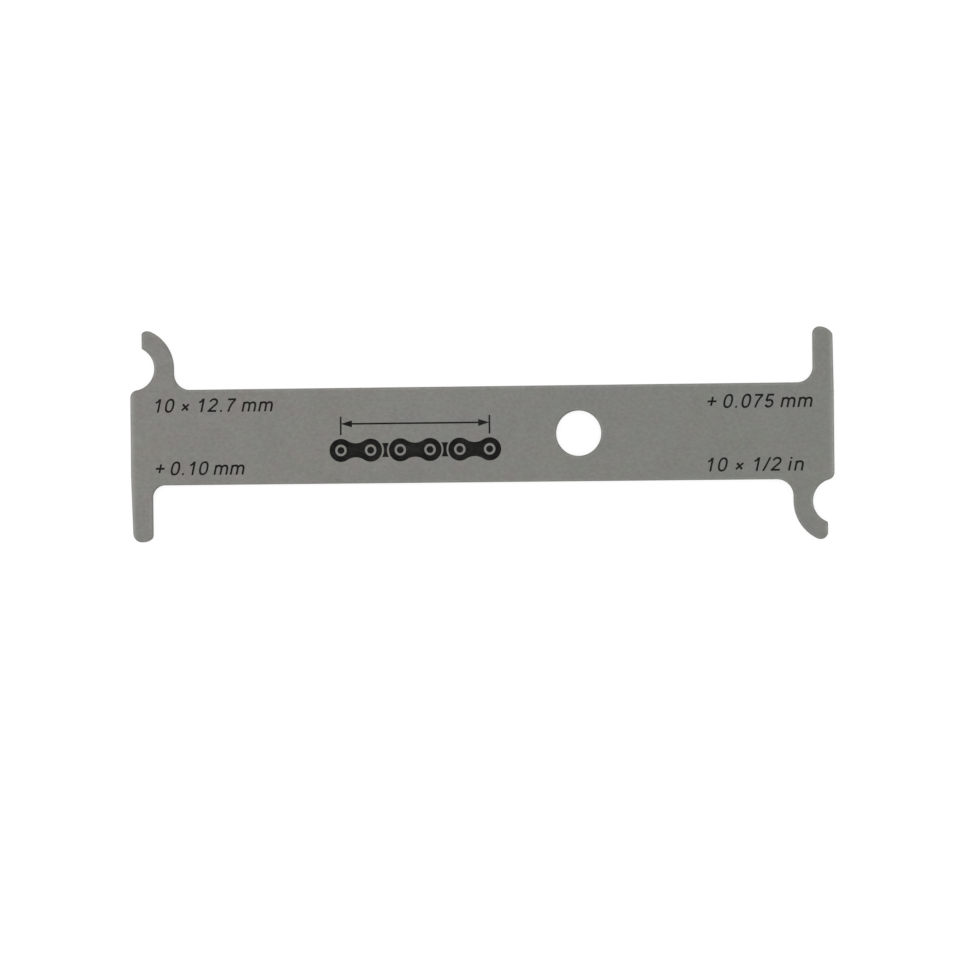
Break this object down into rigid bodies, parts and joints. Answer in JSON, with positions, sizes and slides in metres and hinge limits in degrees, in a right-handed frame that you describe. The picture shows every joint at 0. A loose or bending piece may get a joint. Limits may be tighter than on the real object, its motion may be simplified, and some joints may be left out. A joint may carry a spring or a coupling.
{
  "type": "chain wear gauge",
  "caption": "Flat stainless steel plate with a hook and a tooth on each long edge, for gauging bicycle chain wear, and a hanging hole.",
  "frame": {"origin": "on the underside, at the middle of the plate's body", "axes": "+X along the body towards the end with the upper tooth, +Y across the body towards the shorter gauge length, +Z out of the marked face"},
  "size_m": [0.125, 0.0382, 0.0015],
  "materials": {
    "stainless_steel": "satin, fine matt grain, tumbled edges",
    "black_marking": "matt black marking on the sheet"
  },
  "bodies": {
    "root": {"gauge_plate": "stainless_steel"}
  },
  "joints": []
}
